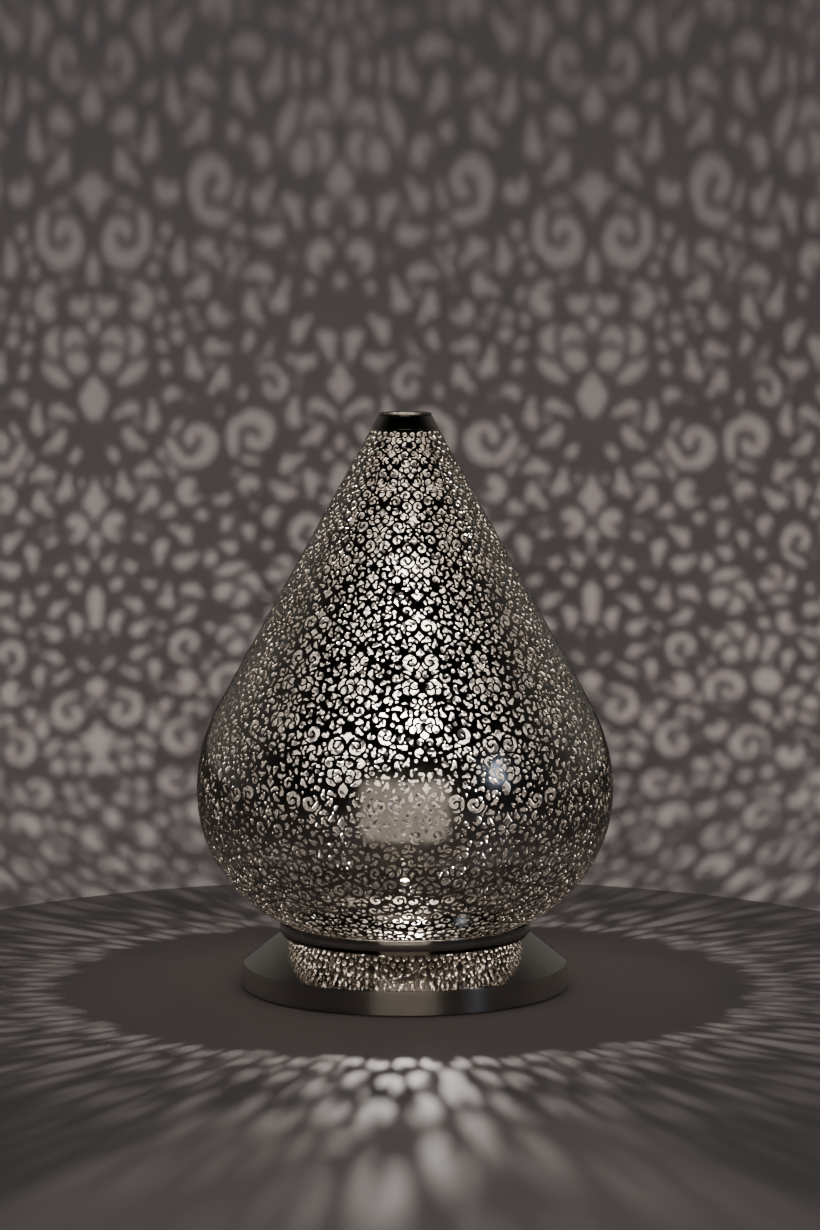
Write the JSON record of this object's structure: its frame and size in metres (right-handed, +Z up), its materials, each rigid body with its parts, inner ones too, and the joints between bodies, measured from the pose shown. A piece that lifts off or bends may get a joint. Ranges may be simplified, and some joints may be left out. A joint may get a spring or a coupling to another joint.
{
  "type": "pierced metal table lantern",
  "caption": "Drop-shaped pierced metal table lantern: a lift-off shade with an open crown, on a round polished foot that holds a candle lamp.",
  "frame": {"origin": "on the table, at the middle of the round foot, under its rubber pads", "axes": "+Z up along the axis of the shade and foot; -Y is the front seen in use; the cord inlet is at the back on +Y"},
  "size_m": [0.332, 0.332, 0.4594],
  "materials": {
    "plated_shade": "polished silver plate on brass, hand pierced",
    "plated_trim": "polished silver plate on brass",
    "plated_foot": "mirror-polished silver plate on spun brass",
    "deck_plated": "satin nickel plate on brass",
    "screw_steel": "zinc plated",
    "screw_brass": "bright",
    "spring_brass": "bright",
    "cover_steel": "black lacquer on sheet steel",
    "foot_rubber": "matt",
    "black_moulding": "fine satin",
    "holder_moulding": "moulded thermoset",
    "block_moulding": "moulded thermoset",
    "shell_metal": "nickel plated",
    "clear_glass": "clear",
    "black_glass": "vitrite",
    "solder": "soft solder",
    "tungsten": "coiled wire"
  },
  "bodies": {
    "base": {"foot": "plated_foot", "gallery_ring": "plated_trim", "deck_plate": "deck_plated", "deck_screws": "screw_steel", "earth_screw": "screw_brass", "earth_nut": "screw_brass", "base_cover": "cover_steel", "cover_brackets": "cover_steel", "cover_screws": "screw_steel", "rubber_feet": "foot_rubber", "inlet_bush": "black_moulding", "inlet_nut": "black_moulding", "holder_cap": "holder_moulding", "holder_body": "holder_moulding", "upper_ring_nut": "holder_moulding", "lower_ring_nut": "holder_moulding", "contact_block": "block_moulding", "terminal_screws": "screw_brass", "thread_shell": "shell_metal", "centre_contact": "spring_brass"},
    "shade": {"pierced_shade": "plated_shade", "hem_band": "plated_trim", "crown_collar": "plated_trim", "crown_bead": "plated_trim"},
    "lamp_envelope": {"lamp_glass": "clear_glass"},
    "lamp_core": {"lamp_cap": "shell_metal", "lamp_insulator": "black_glass", "lamp_contact": "solder", "lamp_stem": "clear_glass", "lead_wires": "shell_metal", "filament": "tungsten"}
  },
  "joints": [
    {"name": "shade_lift", "type": "slide", "parent": "base", "child": "shade", "axis": [0, 0, 1], "range_m": [0, 0.1]},
    {"name": "lamp_rise", "type": "slide", "parent": "base", "child": "lamp_envelope", "axis": [0, 0, 1], "range_m": [0, 0.0169]},
    {"name": "lamp_turn", "type": "hinge", "parent": "lamp_envelope", "child": "lamp_core", "pos_m": [0, 0, 0.085], "axis": [0, 0, 1], "range_deg": [0, 2160]}
  ],
  "couplings": [
    {"joint": "lamp_turn", "follows": "lamp_rise", "rad_per_m": 2228.1}
  ]
}
